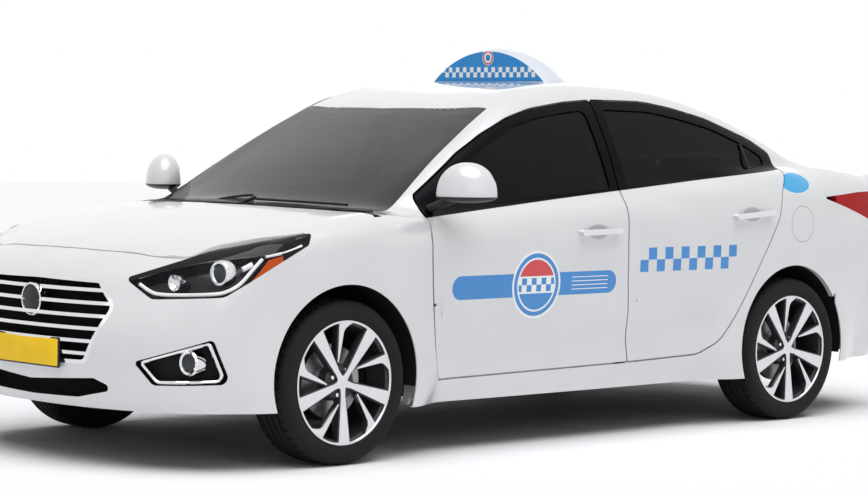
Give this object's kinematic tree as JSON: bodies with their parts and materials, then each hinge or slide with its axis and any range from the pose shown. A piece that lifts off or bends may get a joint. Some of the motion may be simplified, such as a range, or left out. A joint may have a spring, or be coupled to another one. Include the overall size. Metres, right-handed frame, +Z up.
{
  "type": "taxi cab",
  "caption": "Compact saloon taxi with a domed roof sign, spoked wheels, hinged doors, hood and boot lid, steered front wheels and a furnished cabin.",
  "frame": {"origin": "on the ground, midway along the car's length and on its centre plane", "axes": "-X is the direction of travel, -Y is the car's left side, +Z is up"},
  "size_m": [4.3873, 2.0776, 1.595],
  "materials": {
    "paint": "glossy two-layer paint",
    "glass": "tinted glass",
    "clear_lens": "clear lens over a lamp",
    "red_lens": "red lens",
    "chrome": "polished",
    "black_plastic": "grained",
    "sign_plastic": "moulded",
    "steel": "primed and painted steel",
    "cast": "raw casting",
    "alloy": "machined and lacquered",
    "tyre": "ribbed tread",
    "exhaust_steel": "bare",
    "seat_fabric": "woven"
  },
  "bodies": {
    "body": {"body_side_left": "paint", "body_side_right": "paint", "fender_left": "paint", "fender_right": "paint", "front_bumper": "paint", "grille": "chrome", "headlamps": "clear_lens", "fog_lamps": "black_plastic", "front_structure": "steel", "cowl_panel": "black_plastic", "windscreen": "glass", "roof_panel": "paint", "rear_window": "glass", "parcel_shelf": "black_plastic", "taillamps": "red_lens", "rear_bumper": "paint", "roof_sign": "sign_plastic", "floor_pan": "steel", "wheel_liners": "black_plastic", "subframe": "steel", "engine_block": "cast", "rear_axle": "steel", "fuel_tank": "black_plastic", "exhaust": "exhaust_steel", "dashboard": "black_plastic", "front_seats": "seat_fabric", "rear_seat": "seat_fabric"},
    "hood": {"hood": "paint"},
    "trunk_lid": {"trunk_lid": "paint"},
    "steering_wheel": {"steering_wheel": "black_plastic"},
    "door_front_left": {"door_front_left": "paint", "window_front_left": "glass", "mirror_left": "paint"},
    "door_rear_left": {"door_rear_left": "paint", "window_rear_left": "glass"},
    "knuckle_left": {"knuckle_left": "cast"},
    "wheel_front_left": {"tyre_front_left": "tyre", "rim_front_left": "alloy"},
    "wheel_rear_left": {"tyre_rear_left": "tyre", "rim_rear_left": "alloy"},
    "door_front_right": {"door_front_right": "paint", "window_front_right": "glass", "mirror_right": "paint"},
    "door_rear_right": {"door_rear_right": "paint", "window_rear_right": "glass"},
    "knuckle_right": {"knuckle_right": "cast"},
    "wheel_front_right": {"tyre_front_right": "tyre", "rim_front_right": "alloy"},
    "wheel_rear_right": {"tyre_rear_right": "tyre", "rim_rear_right": "alloy"}
  },
  "joints": [
    {"name": "door_front_left_hinge", "type": "hinge", "parent": "body", "child": "door_front_left", "pos_m": [-0.8781, -0.84804, 0.7], "axis": [0, 0, -1], "range_deg": [0, 65]},
    {"name": "door_rear_left_hinge", "type": "hinge", "parent": "body", "child": "door_rear_left", "pos_m": [0.21925, -0.84804, 0.7], "axis": [0, 0, -1], "range_deg": [0, 62]},
    {"name": "steer_left", "type": "hinge", "parent": "body", "child": "knuckle_left", "pos_m": [-1.3625, -0.705, 0.2001], "axis": [0, 0.212, 0.9773], "range_deg": [-35, 35]},
    {"name": "wheel_front_left_spin", "type": "hinge", "parent": "knuckle_left", "child": "wheel_front_left", "pos_m": [-1.3625, -0.75, 0.308], "axis": [0, 1, 0], "continuous": true},
    {"name": "wheel_rear_left_spin", "type": "hinge", "parent": "body", "child": "wheel_rear_left", "pos_m": [1.2175, -0.75, 0.308], "axis": [0, 1, 0], "continuous": true},
    {"name": "door_front_right_hinge", "type": "hinge", "parent": "body", "child": "door_front_right", "pos_m": [-0.8781, 0.84804, 0.7], "axis": [0, 0, 1], "range_deg": [0, 65]},
    {"name": "door_rear_right_hinge", "type": "hinge", "parent": "body", "child": "door_rear_right", "pos_m": [0.21925, 0.84804, 0.7], "axis": [0, 0, 1], "range_deg": [0, 62]},
    {"name": "steer_right", "type": "hinge", "parent": "body", "child": "knuckle_right", "pos_m": [-1.3625, 0.705, 0.2001], "axis": [0, -0.212, 0.9773], "range_deg": [-35, 35]},
    {"name": "wheel_front_right_spin", "type": "hinge", "parent": "knuckle_right", "child": "wheel_front_right", "pos_m": [-1.3625, 0.75, 0.308], "axis": [0, 1, 0], "continuous": true},
    {"name": "wheel_rear_right_spin", "type": "hinge", "parent": "body", "child": "wheel_rear_right", "pos_m": [1.2175, 0.75, 0.308], "axis": [0, 1, 0], "continuous": true},
    {"name": "hood_hinge", "type": "hinge", "parent": "body", "child": "hood", "pos_m": [-1.15983, 0, 0.89969], "axis": [0, 1, 0], "range_deg": [0, 50]},
    {"name": "trunk_hinge", "type": "hinge", "parent": "body", "child": "trunk_lid", "pos_m": [1.56698, 0, 1.13028], "axis": [0, -1, 0], "range_deg": [0, 75]},
    {"name": "steering_wheel_turn", "type": "hinge", "parent": "body", "child": "steering_wheel", "pos_m": [-0.50866, -0.37174, 0.8555], "axis": [0.9063, 0, 0.4226], "range_deg": [-525, 525]}
  ],
  "couplings": [
    {"joint": "steer_right", "follows": "steer_left", "ratio": 1},
    {"joint": "steering_wheel_turn", "follows": "steer_left", "ratio": 15}
  ]
}
